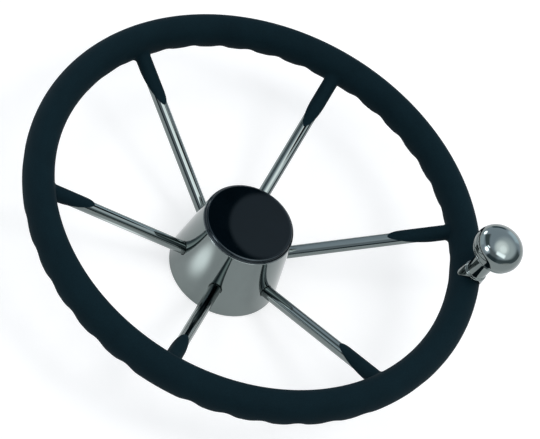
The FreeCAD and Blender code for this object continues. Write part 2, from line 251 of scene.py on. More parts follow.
grip_half_width = 0.01278
grip_half_depth = 0.01588
hollows_per_gap = 6
hollow_depth = 0.0017
hollow_tilt = 5.0
hollow_full = 38.0
hollow_end = 88.0
sleeve_radius = 0.00655
sleeve_inside = spoke_radius + 0.00003
sleeve_length = 0.0583
sleeve_shift = 0.0065
sleeve_shift_turn = math.radians(330.0)
sleeve_back_length = 0.013
sleeve_end_depth = 0.002
least_sleeve = 0.0004
root_fillet = 0.003
lip_round = 0.0007
bolt_turn = math.radians(103.4)
bolt_lean = math.radians(6.4)
bolt_pocket_radius = 0.0068
slots = spoke_count * (hollows_per_gap + 1)


def hollow_at(turn, section):
    """Depth of the finger hollows at a place round the rim and round its section."""
    place = (turn / (2.0 * math.pi) * slots) % (hollows_per_gap + 1)
    if place < 0.5 or place > hollows_per_gap + 0.5:
        return 0.0
    wave = (0.5 - 0.5 * math.cos(2.0 * math.pi * (place - 0.5))) ** 2
    from_back = abs((math.degrees(section) - hollow_tilt + 270.0) % 360.0 - 180.0)
    t = min(max((from_back - hollow_full) / (hollow_end - hollow_full), 0.0), 1.0)
    return hollow_depth * wave * (1.0 - t * t * (3.0 - 2.0 * t))


def oval_share(turn, section):
    """How far out the skin lies, as a share of the plain oval."""
    slope = math.hypot(math.cos(section) / grip_half_width, math.sin(section) / grip_half_depth)
    return 1.0 - hollow_at(turn, section) * slope


def grip_skin(turn, section):
    share = oval_share(turn, section)
    radius = rim_radius + share * grip_half_width * math.cos(section)
    return Vector((radius * math.cos(turn), radius * math.sin(turn),
                   rim_height + share * grip_half_depth * math.sin(section)))


def outside_grip(spot):
    x = (math.hypot(spot.x, spot.y) - rim_radius) / grip_half_width
    z = (spot.z - rim_height) / grip_half_depth
    return math.hypot(x, z) > oval_share(math.atan2(spot.y, spot.x) % (2.0 * math.pi), math.atan2(z, x))


def knob_axis():
    """From the ring tube's centre out through the knob, which leans outwards a little."""
    out = Vector((math.cos(bolt_turn), math.sin(bolt_turn), 0.0))
    up = out * math.sin(bolt_lean) + Vector((0.0, 0.0, math.cos(bolt_lean)))
    return Axis(out * rim_radius + Vector((0.0, 0.0, rim_height)), up, out)


class Grid:
    """A closed grid of points with square blocks left out and filled round a hole."""

    def __init__(self, columns, rows, place, closed_rows=True):
        self.columns = columns
        self.rows = rows
        self.closed_rows = closed_rows
        self.points = [place(i, j) for j in range(rows) for i in range(columns)]
        self.faces = []
        self.blocks = []

    def key(self, i, j):
        return (j % self.rows if self.closed_rows else j) * self.columns + i % self.columns

    def leave_out(self, axis, row, column, half_rows, half_columns):
        """Leave out a block; gives the grid places round its edge, and where they lie about an axis."""
        low = row - half_rows
        high = row + half_rows
        left = column - half_columns
        right = column + half_columns
        self.blocks.append((low, high, left, right))
        edge = [(i, low) for i in range(left, right)]
        edge += [(right, j) for j in range(low, high)]
        edge += [(i, high) for i in range(right, left, -1)]
        edge += [(left, j) for j in range(high, low, -1)]
        return edge, [axis.read(self.points[self.key(i, j)]) for i, j in edge]

    def inside_block(self, i, j):
        for low, high, left, right in self.blocks:
            across = (i - left) % self.columns
            if across < right - left and (j - low) % self.rows < high - low:
                return True
        return False

    def fill(self):
        for j in range(self.rows if self.closed_rows else self.rows - 1):
            for i in range(self.columns):
                if not self.inside_block(i, j):
                    self.faces.append((self.key(i, j), self.key(i + 1, j),
                                       self.key(i + 1, j + 1), self.key(i, j + 1)))

    def run_in(self, edge, steps):
        """Join the block's edge to each next loop of points."""
        last = [self.key(i, j) for i, j in edge]
        count = len(last)
        for loop in steps:
            base = len(self.points)
            self.points += loop
            new = list(range(base, base + count))
            for k in range(count):
                n = (k + 1) % count
                self.faces.append((last[k], last[n], new[n], new[k]))
            last = new

    def add(self, other, turned_over=False):
        base = len(self.points)
        self.points += other.points
        for face in other.faces:
            face = tuple(base + k for k in face)
            self.faces.append(tuple(reversed(face)) if turned_over else face)

    def ring_rows(self, rows, turned_over=False):
        """Turned rows of points about the shaft's axis, each (radius, height)."""
        base = len(self.points)
        count = self.columns
        turns = [2.0 * math.pi * i / count for i in range(count)]
        for radius, height in rows:
            self.points += [Vector((radius * math.cos(t), radius * math.sin(t), height)) for t in turns]
        for k in range(len(rows) - 1):
            for i in range(count):
                n = (i + 1) % count
                low = base + k * count
                face = (low + i, low + n, low + count + n, low + count + i)
                self.faces.append(tuple(reversed(face)) if turned_over else face)

    def piece(self, name):
        mesh = bpy.data.meshes.new(name)
        mesh.from_pydata([tuple(spot) for spot in self.points], [], self.faces)
        mesh.validate()
        mesh.update()
        mesh.shade_smooth()
        made = bpy.data.objects.new(name, mesh)
        bpy.context.scene.collection.objects.link(made)
        return made


def soft_least(a, b, size):
    """The smaller of two lengths, with the corner between them rounded."""
    share = min(max(0.5 + 0.5 * (b - a) / size, 0.0), 1.0)
    return b + (a - b) * share - size * share * (1.0 - share)


grip_columns = 756
grip_rows = 72
grip = Grid(grip_columns, grip_rows,
            lambda i, j: grip_skin(2.0 * math.pi * i / grip_columns, 2.0 * math.pi * j / grip_rows))

sleeve_row = round(grip_rows * 204.0 / 360.0)
for index in range(spoke_count):
    axis = spoke_axis(index)
    turn = 2.0 * math.pi * index / spoke_count
    tip = sleeve_length - sleeve_shift * math.cos(turn - sleeve_shift_turn)
    column = index * grip_columns // spoke_count
    edge, starts = grip.leave_out(axis, sleeve_row, column, 10, 9)
    slant = (sleeve_back_length - tip) / (2.0 * sleeve_radius)

    def cut(radius, t):
        return tip + (radius * math.cos(t) + sleeve_radius) * slant

    def skin(radius, t):
        return first_reach(axis, radius, t, 0.03, 0.0, outside_grip)

    loops = []
    fillet_edge = sleeve_radius + root_fillet
    for k in range(1, 5):
        share = k / 4.0
        loop = []
        for radius, t, _ in starts:
            here = radius + (fillet_edge - radius) * share
            loop.append(axis.at(here, t, skin(here, t)))
        loops.append(loop)
    profile = []
    for _, t, _ in starts:
        line = []
        floor = skin(sleeve_radius, t)
        end = max(cut(sleeve_radius, t), floor + least_sleeve)
        for k in range(1, 9):
            lean = math.radians(90.0 * k / 8.0)
            here = sleeve_radius + root_fillet * (1.0 - math.sin(lean))
            ground = skin(here, t)
            rise = root_fillet * (1.0 - math.cos(lean))
            top = soft_least(ground + rise, max(cut(here, t), ground), 0.0016)
            line.append((here, max(top, ground)))
        root = min(line[-1][1], end - 0.0002)
        line[-1] = (sleeve_radius, root)
        straight = max(end - lip_round, root)
        for k in range(1, 25):
            line.append((sleeve_radius, root + (straight - root) * k / 24.0))
        corner = min(lip_round, end - root)
        for k in range(1, 6):
            lean = math.radians(90.0 * k / 5.0)
            here = sleeve_radius - lip_round * (1.0 - math.cos(lean))
            line.append((here, straight + corner * math.sin(lean)))
        line.append((sleeve_inside, straight + corner))
        line.append((sleeve_inside, straight + corner - sleeve_end_depth))
        profile.append(line)
    for k in range(len(profile[0])):
        loops.append([axis.at(line[k][0], t, line[k][1]) for line, (_, t, _) in zip(profile, starts)])
    grip.run_in(edge, loops)

through = knob_axis()
pocket_row = round(grip_rows * 276.5 / 360.0)
pocket_column = round(grip_columns * bolt_turn / (2.0 * math.pi))
edge, starts = grip.leave_out(through, pocket_row, pocket_column, 9, 8)


def pocket_skin(radius, t):
    return first_reach(through, radius, t, -0.03, 0.0, outside_grip)


loops = []
pocket_round = 0.0006
pocket_end = -0.00492
pocket_lip = bolt_pocket_radius + pocket_round
for k in range(1, 4):
    loop = []
    for radius, t, _ in starts:
        here = radius + (pocket_lip - radius) * k / 3.0
        loop.append(through.at(here, t, pocket_skin(here, t)))
    loops.append(loop)
for k in range(1, 5):
    lean = math.radians(22.5 * k)
    here = pocket_lip - pocket_round * math.sin(lean)
    rise = pocket_round * (1.0 - math.cos(lean))
    loops.append([through.at(here, t, pocket_skin(here, t) + rise) for _, t, _ in starts])
for k in range(1, 4):
    share = k / 3.0
    loops.append([through.at(bolt_pocket_radius, t, pocket_skin(bolt_pocket_radius, t) * (1.0 - share)
                             + pocket_end * share) for _, t, _ in starts])
grip.run_in(edge, loops)
grip.fill()
foam_grip = grip.piece("foam_grip")


def two_tones(tree, value, low, dark, high, light):
    """A colour that runs from one tone to another with a value."""
    ramp = tree.nodes.new("ShaderNodeValToRGB")
    for stop, place, colour in zip(ramp.color_ramp.elements, (low, high), (dark, light)):
        stop.position = place
        stop.color = colour + (1.0,)
    tree.links.new(value, ramp.inputs["Fac"])
    tree.links.new(ramp.outputs["Color"], tree.nodes["Principled BSDF"].inputs["Base Color"])


def foam_finish():
    """Matt blue-black foam: a faint leathery grain and tiny pores in the moulded skin."""
    mat = bpy.data.materials.new("grip_foam")
    mat.use_nodes = True
    tree = mat.node_tree
    shader = tree.nodes["Principled BSDF"]
    shader.inputs["Specular IOR Level"].default_value = 0.05
    place = tree.nodes.new("ShaderNodeTexCoord")
    cloud = noise(tree, place.outputs["Object"], 38.0, 5.0)
    grain = noise(tree, place.outputs["Object"], 900.0, 4.0)
    grain.node.inputs["Roughness"].default_value = 0.6
    pores = tree.nodes.new("ShaderNodeTexVoronoi")
    pores.inputs["Scale"].default_value = 1400.0
    tree.links.new(place.outputs["Object"], pores.inputs["Vector"])
    mottle = maths(tree, "MULTIPLY_ADD", grain, 0.6, maths(tree, "MULTIPLY", cloud, 0.4))
    two_tones(tree, mottle, 0.32, (0.0029, 0.0105, 0.0150), 0.68, (0.0053, 0.0178, 0.0245))
    tree.links.new(spread(tree, mottle, 0.0, 1.0, 0.62, 0.86), shader.inputs["Roughness"])
    emboss(tree, maths(tree, "MULTIPLY_ADD", pores.outputs["Distance"], 0.35, grain), 0.5, 0.00025)
    return mat


foam_grip.data.materials.append(foam_finish())
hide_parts("rim_grip")
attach(foam_grip, "wheel")


# Hub cone: spun from stainless sheet, with rolled edges, and polished to a mirror.
# Each spoke passes through its own round hole with a little room round it.

cone_base = 0.04898
cone_lip = 0.03929
cone_height = 0.067
cone_wall = 0.0015
cone_round = 0.0006
hole_radius = spoke_radius + 0.00045
hole_round = 0.0002
cone_columns = 360
cone_rows = 64


def cone_outside(height):
    return cone_base - (cone_base - cone_lip) * height / cone_height


def cone_skin(turn, height, inset):
    radius = cone_outside(height) - inset
    return Vector((radius * math.cos(turn), radius * math.sin(turn), height))


def off_cone(spot):
    return math.hypot(spot.x, spot.y) > cone_outside(spot.z)


def off_cone_inside(spot):
    return math.hypot(spot.x, spot.y) > cone_outside(spot.z) - cone_wall


def cone_sheet(inset, off_sheet, wall):
    """One face of the cone's sheet with its six spoke holes, and their walls if asked."""
    low = cone_round
    high = cone_height - cone_round
    sheet = Grid(cone_columns, cone_rows,
                 lambda i, j: cone_skin(2.0 * math.pi * i / cone_columns,
                                        low + (high - low) * j / (cone_rows - 1), inset), closed_rows=False)
    middle = rim_height - (rim_radius - cone_outside(0.028)) * math.tan(dish)
    row = round((middle - low) / (high - low) * (cone_rows - 1))
    for index in range(spoke_count):
        axis = spoke_axis(index)
        column = index * cone_columns // spoke_count
        edge, starts = sheet.leave_out(axis, row, column, 11, 12)
        loops = []
        for k in range(1, 8):
            rounds = [radius + (hole_radius + hole_round - radius) * k / 7.0 for radius, _, _ in starts]
            loops.append([axis.at(here, t, first_reach(axis, here, t, 0.1, 0.185, off_sheet))
                          for here, (_, t, _) in zip(rounds, starts)])
        if wall:
            for k in range(1, 5):
                lean = math.radians(22.5 * k)
                here = hole_radius + hole_round * (1.0 - math.sin(lean))
                sink = hole_round * (1.0 - math.cos(lean))
                loops.append([axis.at(here, t, first_reach(axis, here, t, 0.1, 0.185, off_sheet) + sink)
                              for _, t, _ in starts])
            ends = [first_reach(axis, hole_radius, t, 0.1, 0.185, off_cone_inside) for _, t, _ in starts]
            loops.append([axis.at(hole_radius, t, end) for end, (_, t, _) in zip(ends, starts)])
        sheet.run_in(edge, loops)
    sheet.fill()
    return sheet


cone = cone_sheet(0.0, off_cone, True)
cone.add(cone_sheet(cone_wall, off_cone_inside, False), turned_over=True)
# The rolled edges run from the outer face round to the inner one.
for at_top in (True, False):
    height = cone_height - cone_round if at_top else cone_round
    outer = cone_outside(height)
    rows = []
    for k in range(9):
        lean = math.radians(90.0 * k / 8.0)
        rise = cone_round * math.sin(lean)
        rows.append((outer - cone_round * (1.0 - math.cos(lean)), height + (rise if at_top else -rise)))
    rows.append((outer - cone_wall + 0.0001, rows[-1][1]))
    rows.append((outer - cone_wall, height))
    cone.ring_rows(rows, turned_over=not at_top)
cone_piece = cone.piece("hub_cone_shell")
cone_piece.data.materials.append(polished_steel)
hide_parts("hub_cone")
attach(cone_piece, "wheel")


# Knob foot: turned and polished stainless, its sides milled to a wedge and its end to a saddle.
# A bolt from behind the rim pulls it down onto the foam.

foot_base = 0.0120
foot_side = 0.0070
foot_slope = 0.6
foot_side_level = 0.0159
foot_shoulder = (0.0099, 0.0204)
foot_bead = (0.0094, 0.0220)
foot_edge = 0.0004
post_radius = 0.0089
post_top = 0.0476
foot_sides = 240


def soft_profile(corners, steps=6):
    """Points and facings of an outline from (radius, height, rounding) corners."""
    spots = []
    facings = []
    for k, (r, h, size) in enumerate(corners):
        here = Vector((r, h))
        before = (here - Vector(corners[k - 1][:2])).normalized() if k > 0 else None
        after = (Vector(corners[k + 1][:2]) - here).normalized() if k + 1 < len(corners) else None
        if before is None or after is None:
            way = after if before is None else before
            spots.append(here)
            facings.append(Vector((way.y, -way.x)))
            continue
        turn = math.acos(min(max(before.dot(after), -1.0), 1.0))
        back = size * math.tan(turn / 2.0)
        first = here - before * back
        side = 1.0 if before.x * after.y - before.y * after.x > 0.0 else -1.0
        start = Vector((before.y, -before.x))
        middle = first - start * size * side
        for step in range(steps + 1):
            swing = side * turn * step / steps
            facing = Vector((start.x * math.cos(swing) - start.y * math.sin(swing),
                             start.x * math.sin(swing) + start.y * math.cos(swing)))
            spots.append(middle + facing * size * side)
            facings.append(facing)
    return spots, facings


def turned_piece(name, axis, spots, facings, sides=192, closed=False):
    """A turned piece about an axis, its surface facing exactly as the outline does."""
    turns = [2.0 * math.pi * i / sides for i in range(sides)]
    rows = [[axis.at(spot.x, t, spot.y) for t in turns] for spot in spots]
    normals = [[axis.at(facing.x, t, facing.y) - axis.origin for t in turns] for facing in facings]
    if closed:
        rows.append(rows[0])
        normals.append(normals[0])
    return from_rows(name, rows, normals, ends=(False, not closed))


def off_oval(spot):
    x = (math.hypot(spot.x, spot.y) - rim_radius) / (grip_half_width + 0.0001)
    z = (spot.z - rim_height) / (grip_half_depth + 0.0001)
    return math.hypot(x, z) > 1.0


def foot_reach(t, height):
    """How far the foot's wall stands from its axis: a cone, cut by the two milled sides."""
    wall = foot_base - (foot_base - foot_shoulder[0]) * height / foot_shoulder[1]
    side = foot_side + foot_slope * (height - foot_side_level)
    return soft_least(wall, max(side, 0.0) / max(abs(math.sin(t)), 0.02), 0.0012)


def off_foot_seat(t, inward):
    """The height at which the foot's wall, moved in a little, meets the foam."""
    low = 0.0
    high = 0.03
    for _ in range(40):
        middle = (low + high) / 2.0
        if off_oval(through.at(max(foot_reach(t, middle) - inward, 0.0), t, middle)):
            high = middle
        else:
            low = middle
    return high


outline, _ = soft_profile([
    (foot_shoulder[0] + 0.0003, foot_shoulder[1] - 0.003, 0.0),
    (foot_shoulder[0], foot_shoulder[1], foot_edge),
    (foot_bead[0], foot_shoulder[1], 0.00015),
    (foot_bead[0], foot_bead[1], foot_edge),
    (post_radius, foot_bead[1], 0.00015),
    (post_radius, post_top, 0.0003),
    (0.005, post_top, 0.0),
])
outline = outline[1:]
seat_lip = 0.0003
columns = []
blend_start = outline[0].y
for i in range(foot_sides):
    t = 2.0 * math.pi * i / foot_sides
    column = []
    for inward in (0.0020, 0.0012, 0.0006):
        seat = off_foot_seat(t, inward)
        column.append((foot_reach(t, seat) - inward, seat))
    seat = off_foot_seat(t, 0.0)
    for lean in (0.0, 30.0, 60.0, 90.0):
        swing_in = seat_lip * (1.0 - math.sin(math.radians(lean)))
        height = seat + seat_lip * (1.0 - math.cos(math.radians(lean)))
        column.append((foot_reach(t, height) - swing_in, height))
    for k in range(1, 21):
        height = seat + seat_lip + (blend_start - seat - seat_lip) * k / 20.0
        column.append((foot_reach(t, height), height))
    for spot in outline[1:]:
        column.append((spot.x, spot.y))
    columns.append([through.at(r, t, h) for r, h in column])
foot = from_rows("knob_foot_post", [list(row) for row in zip(*columns)])
foot.data.materials.append(polished_steel)
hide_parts("knob_foot")
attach(foot, "wheel")


# Bolt, saddle washer, spindle, thrust washer, clip and bushing: small bought parts.
# The bolt and washer show in the pocket behind the rim, the rest sits inside the knob.

acetal = bpy.data.materials.new("black_acetal")
acetal.use_nodes = True
tree = acetal.node_tree
place = tree.nodes.new("ShaderNodeTexCoord")
speckle = noise(tree, place.outputs["Generated"], 600.0, 2.0)
two_tones(tree, speckle, 0.0, (0.014, 0.014, 0.015), 1.0, (0.028, 0.028, 0.029))
tree.links.new(spread(tree, speckle, 0.0, 1.0, 0.35, 0.55), tree.nodes["Principled BSDF"].inputs["Roughness"])
for node in ("knob_bolt", "knob_saddle_washer", "knob_spindle", "knob_clip"):
    finish_node(node, turned_steel)
for node in ("knob_thrust_washer", "knob_bushing"):
    finish_node(node, acetal)


# Knob collar: a turned and polished plate with a stepped edge that closes the ball.
# Its hub holds the bushing, and a fine groove runs under the upper step.

collar_low = 0.0486
collar_radius = 0.0192
collar_step = 0.0203
collar_fine = 0.0005
step_height = collar_low + 0.0025
collar_high = collar_low + 0.005
collar_recess = collar_low + 0.0012
hub_radius = 0.00965
hub_high = 0.0592
bushing_hole = 0.00705
spigot_radius = 0.0185
spigot_wall = 0.0015
spigot_high = collar_high + 0.0024
neck = collar_radius - collar_fine
spots, facings = soft_profile([
    (bushing_hole, hub_high, 0.0),
    (bushing_hole, collar_low, 0.0002),
    (hub_radius, collar_low, 0.0002),
    (hub_radius + 0.0012, collar_recess, 0.0002),
    (neck - 0.0012, collar_recess, 0.0002),
    (neck, collar_low, 0.0002),
    (collar_radius, collar_low + collar_fine, 0.0003),
    (collar_radius, step_height - 2.0 * collar_fine, 0.0003),
    (neck, step_height - collar_fine, 0.00015),
    (neck, step_height, 0.00015),
    (collar_step, step_height + collar_fine, 0.0004),
    (collar_step, collar_high, 0.00015),
    (spigot_radius, collar_high, 0.0),
    (spigot_radius, spigot_high, 0.0),
    (spigot_radius - spigot_wall, spigot_high, 0.0),
    (spigot_radius - spigot_wall, collar_high, 0.0),
    (hub_radius, collar_high, 0.0),
    (hub_radius, hub_high, 0.0),
])
collar = turned_piece("knob_collar_plate", through, spots, facings, closed=True)
collar.data.materials.append(polished_steel)
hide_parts("knob_collar")
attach(collar, "knob")


# Knob ball: a flattened ball pressed from stainless sheet and polished to a mirror.
# It sits on the collar's step, with a hairline between them.

ball_radius = 0.0212
ball_half_height = 0.017
ball_side = 0.0146
ball_centre = 0.0565
ball_low = collar_high + 0.00005
side_x = ball_radius - ball_side
top_arc = (side_x ** 2 + ball_half_height ** 2 - ball_side ** 2) / (2.0 * (ball_half_height - ball_side))
top_centre = ball_centre + ball_half_height - top_arc
meet = math.atan2(side_x, ball_centre - top_centre)


ball_steps = 96
start = math.asin((ball_low - ball_centre) / ball_side)
lip = side_x + math.cos(start) * ball_side
spots = [Vector((lip - 0.0004, ball_low)), Vector((lip - 0.0001, ball_low)),
         Vector((lip + 0.00002, ball_low + 0.0001))]
facings = [Vector((0.0, -1.0)), Vector((0.5, -0.8)).normalized(), Vector((0.95, -0.3)).normalized()]
for k in range(1, ball_steps + 1):
    lean = start + (math.pi / 2.0 - 0.004 - start) * k / ball_steps
    facings.append(Vector((math.cos(lean), math.sin(lean))))
    if lean < math.pi / 2.0 - meet:
        spots.append(Vector((side_x, ball_centre)) + facings[-1] * ball_side)
    else:
        spots.append(Vector((0.0, top_centre)) + facings[-1] * top_arc)
ball = turned_piece("knob_ball_shell", through, spots, facings, sides=256)
ball.data.materials.append(polished_steel)
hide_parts("knob_ball")
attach(ball, "knob")


# Centre cap: one gloss black moulding, a crowned disc with a rolled edge on a thin flange.
# Six tongues of its skirt grip the inside of the cone's mouth.

shaft = Axis((0.0, 0.0, 0.0), (0.0, 0.0, 1.0), (1.0, 0.0, 0.0))
cap_radius = 0.0390
cap_low = cone_height + 0.00005
cap_flange = cap_low + 0.0012
cap_dome = 0.0378
cap_shoulder = cap_low + 0.00305
cap_crown = 0.00045
cap_ceiling = cap_low + 0.0010
shoulder_round = 0.0018
skirt_outside = cone_lip - cone_wall - 0.00035
skirt_inside = skirt_outside - 0.0018
skirt_low = cap_low - 0.007
crown_arc = (cap_dome ** 2 + cap_crown ** 2) / (2.0 * cap_crown)
crown_middle = cap_shoulder + cap_crown - crown_arc
crown_edge = cap_dome - 0.0030
crown_overlap = 0.0010
corners = [
    (0.0003, cap_ceiling, 0.0),
    (skirt_inside, cap_ceiling, 0.0),
    (skirt_inside, cap_low, 0.0),
    (cap_radius, cap_low, 0.0003),
    (cap_radius, cap_flange, 0.0006),
    (cap_dome, cap_flange + 0.0001, 0.0001),
    (cap_dome, cap_shoulder, shoulder_round),
    (crown_edge, crown_middle + math.sqrt(crown_arc ** 2 - crown_edge ** 2), 0.0),
]
spots, facings = soft_profile(corners, 12)
spots = spots[:-1]
facings = facings[:-1]
crown_start = math.asin((crown_edge + crown_overlap) / crown_arc)
for k in range(33):
    lean = crown_start * (1.0 - k / 32.0) + 0.0005 * k / 32.0
    facings.append(Vector((math.sin(lean), math.cos(lean))))
    spots.append(Vector((0.0, crown_middle)) + facings[-1] * crown_arc)
cap = turned_piece("cap_disc", shaft, spots, facings, sides=256)


def gloss_plastic():
    """Gloss black moulding: a painted shade and highlight in its gloss, weaker on its face and stronger at
    its edge, with a faint haze and slow ripples.
    """
    mat = bpy.data.materials.new("cap_plastic")
    mat.use_nodes = True
    tree = mat.node_tree
    shader = tree.nodes["Principled BSDF"]
    shader.inputs["Specular Tint"].default_value = (0.72, 0.90, 1.0, 1.0)
    place = tree.nodes.new("ShaderNodeTexCoord")
    across = tree.nodes.new("ShaderNodeVectorMath")
    across.operation = "MULTIPLY"
    across.inputs[1].default_value = (1.0, 1.0, 0.0)
    tree.links.new(place.outputs["Object"], across.inputs[0])
    away = tree.nodes.new("ShaderNodeVectorMath")
    away.operation = "LENGTH"
    tree.links.new(across.outputs["Vector"], away.inputs[0])
    # Painted highlight and shade: the reflection is turned up on the rolled edge and down on the face.
    edge = spread(tree, away.outputs["Value"], crown_edge, cap_dome - shoulder_round, 0.17, 0.40)
    tree.links.new(edge, shader.inputs["Specular IOR Level"])
    haze = noise(tree, place.outputs["Object"], 60.0, 6.0)
    two_tones(tree, haze, 0.3, (0.0007, 0.0026, 0.0040), 0.7, (0.0012, 0.0036, 0.0056))
    tree.links.new(spread(tree, haze, 0.3, 0.7, 0.03, 0.07), shader.inputs["Roughness"])
    emboss(tree, noise(tree, place.outputs["Object"], 28.0, 1.0), 0.06, 0.0006)
    return mat


cap_plastic = gloss_plastic()
cap.data.materials.append(cap_plastic)
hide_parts("center_cap")
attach(cap, "cap")

tongue_count = 6
tongue_steps = 20
tongue_top = cap_low + 0.0001
tongue_round = 0.0004
slot_half = math.asin(0.003 / skirt_outside)
for index in range(tongue_count):
    start = 2.0 * math.pi * (index - 0.5) / tongue_count + slot_half
    stop = 2.0 * math.pi * (index + 0.5) / tongue_count - slot_half
    section, _ = soft_profile([
        (skirt_outside, tongue_top, 0.0),
        (skirt_inside, tongue_top, 0.0),
        (skirt_inside, skirt_low, tongue_round),
        (skirt_outside, skirt_low, tongue_round),
        (skirt_outside, tongue_top, 0.0),
    ])
    section = section[:-1]
    rows = [[shaft.at(spot.x, start + (stop - start) * k / tongue_steps, spot.y) for spot in section]
            for k in range(tongue_steps + 1)]
    tongue = from_rows("cap_tongue_%d" % (index + 1), rows, ends=(True, True))
    tongue.data.materials.append(cap_plastic)
    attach(tongue, "cap")


# Studio: a plain white floor under the wheel, a painted room all round and two softboxes.
# The metal mirrors the room, and the camera stands where the photograph's did.

floor_mesh = bpy.data.meshes.new("studio_floor")
floor_mesh.from_pydata([(-8, -8, 0), (8, -8, 0), (8, 8, 0), (-8, 8, 0)], [], [(0, 1, 2, 3)])
floor = bpy.data.objects.new("studio_floor", floor_mesh)
bpy.context.scene.collection.objects.link(floor)
floor.location.z = -0.0002
floor_finish = bpy.data.materials.new("floor_paper")
floor_finish.use_nodes = True
tree = floor_finish.node_tree
paper = tree.nodes["Principled BSDF"]
paper.inputs["Roughness"].default_value = 0.9
paper.inputs["Specular IOR Level"].default_value = 0.0
place = tree.nodes.new("ShaderNodeTexCoord")
grain = noise(tree, place.outputs["Generated"], 900.0, 2.0)
two_tones(tree, grain, 0.0, (0.60, 0.60, 0.60), 1.0, (0.66, 0.66, 0.66))
paper.inputs["Emission Color"].default_value = (1.0, 1.0, 1.0, 1.0)
ray = tree.nodes.new("ShaderNodeLightPath")
seen = maths(tree, "MAXIMUM", ray.outputs["Is Camera Ray"], ray.outputs["Is Glossy Ray"])
# A painted pool of light on the paper, glowing for mirror rays only, which shows as the soft spot on the
# cone's left.
spot = tree.nodes.new("ShaderNodeNewGeometry")
away = tree.nodes.new("ShaderNodeVectorMath")
away.operation = "DISTANCE"
away.inputs[1].default_value = (0.078, -0.062, 0.0)
tree.links.new(spot.outputs["Position"], away.inputs[0])
pool = spread(tree, away.outputs["Value"], 0.040, 0.002, 0.0, 1.9, "SMOOTHERSTEP")
glow = maths(tree, "MULTIPLY_ADD", ray.outputs["Is Glossy Ray"], pool, maths(tree, "MULTIPLY", seen, 0.55))
tree.links.new(glow, paper.inputs["Emission Strength"])
floor_mesh.materials.append(floor_finish)

# A black card with a round window hangs over the hub, and only mirrors show it.
# Its front faces the cap, and from the knob it is seen from behind and shows nothing.
card_middle = Vector((-0.1726, 0.0129, 0.2770))
card_ahead = Vector((0.3424, -0.7935, -0.5032))
card_along = Vector((-0.5732, -0.6007, 0.5572))
card_window = 0.0413
card_fade = 0.084
card_reach = 0.100
card_stretch = 1.56
card_mesh = bpy.data.meshes.new("studio_card")
card_mesh.from_pydata([(-card_reach, -card_reach, 0.0), (card_reach, -card_reach, 0.0),
                       (card_reach, card_reach, 0.0), (-card_reach, card_reach, 0.0)], [], [(0, 1, 2, 3)])
card = bpy.data.objects.new("studio_card", card_mesh)
card.location = card_middle
card.rotation_euler = Matrix((card_along, card_ahead.cross(card_along), card_ahead)).transposed().to_euler()
card.scale = (card_stretch, 1.0, 1.0)
card.visible_camera = False
card.visible_diffuse = False
card.visible_shadow = False
bpy.context.scene.collection.objects.link(card)
card_finish = bpy.data.materials.new("card_paper")
card_finish.use_nodes = True
tree = card_finish.node_tree
tree.nodes.remove(tree.nodes["Principled BSDF"])
place = tree.nodes.new("ShaderNodeTexCoord")
away = tree.nodes.new("ShaderNodeVectorMath")
away.operation = "LENGTH"
tree.links.new(place.outputs["Object"], away.inputs[0])
sides = tree.nodes.new("ShaderNodeNewGeometry")
clear_where = sides.outputs["Backfacing"]
for none, full in ((card_window + 0.0030, card_window - 0.0040), (card_fade, card_reach)):
    edge = spread(tree, away.outputs["Value"], none, full, 0.0, 1.0, "SMOOTHSTEP")
    clear_where = maths(tree, "MAXIMUM", clear_where, edge)
black = tree.nodes.new("ShaderNodeBsdfDiffuse")
black.inputs["Color"].default_value = (0.02, 0.03, 0.04, 1.0)
clear = tree.nodes.new("ShaderNodeBsdfTransparent")
blend = tree.nodes.new("ShaderNodeMixShader")
tree.links.new(clear_where, blend.inputs["Fac"])
tree.links.new(black.outputs["BSDF"], blend.inputs[1])
tree.links.new(clear.outputs["BSDF"], blend.inputs[2])
tree.links.new(blend.outputs["Shader"], tree.nodes["Material Output"].inputs["Surface"])
card_mesh.materials.append(card_finish)

world = bpy.data.worlds.new("studio_air")
bpy.context.scene.world = world
world.use_nodes = True
tree = world.node_tree
sky = tree.nodes["Background"]
way = tree.nodes.new("ShaderNodeTexCoord")


def direction(turn, lift):
    turn = math.radians(turn)
    lift = math.radians(lift)
    return Vector((math.cos(turn) * math.cos(lift), math.sin(turn) * math.cos(lift), math.sin(lift)))


def toward(line):
    """How far each direction in the room points along a line."""
    aim = tree.nodes.new("ShaderNodeVectorMath")
    aim.operation = "DOT_PRODUCT"
    aim.inputs[1].default_value = line
    tree.links.new(way.outputs["Generated"], aim.inputs[0])
    return aim.outputs["Value"]


def lay_on(below, mask, colour):
    mix = tree.nodes.new("ShaderNodeMix")
    mix.data_type = "RGBA"
    if isinstance(below, tuple):
        mix.inputs["A"].default_value = below + (1.0,)
    else:
        tree.links.new(below, mix.inputs["A"])
    mix.inputs["B"].default_value = colour + (1.0,)
    tree.links.new(mask, mix.inputs["Factor"])
    return mix.outputs["Result"]


def soft_disc(below, turn, lift, inner, outer, colour):
    """A round patch of light or dark on the studio's walls, seen from the wheel."""
    ahead = toward(direction(turn, lift))
    none = math.cos(math.radians(outer))
    full = math.cos(math.radians(inner))
    return lay_on(below, spread(tree, ahead, none, full, 0.0, 1.0, "SMOOTHSTEP"), colour)


def soft_panel(below, turn, lift, lean, half_long, half_wide, soft, colour):
    """A long patch with soft edges, its length leaning from level by an angle."""
    ahead = direction(turn, lift)
    level = Vector((-math.sin(math.radians(turn)), math.cos(math.radians(turn)), 0.0))
    rise = ahead.cross(level)
    along = level * math.cos(math.radians(lean)) + rise * math.sin(math.radians(lean))
    bearing = maths(tree, "ARCTAN2", toward(along), toward(ahead))
    aside = toward(ahead.cross(along))
    masks = []
    for value, half, measure in ((bearing, half_long, float), (aside, half_wide, math.sin)):
        none = measure(math.radians(half + soft))
        full = measure(math.radians(half - soft))
        masks.append(spread(tree, maths(tree, "ABSOLUTE", value), none, full, 0.0, 1.0, "SMOOTHSTEP"))
    return lay_on(below, maths(tree, "MULTIPLY", *masks), colour)


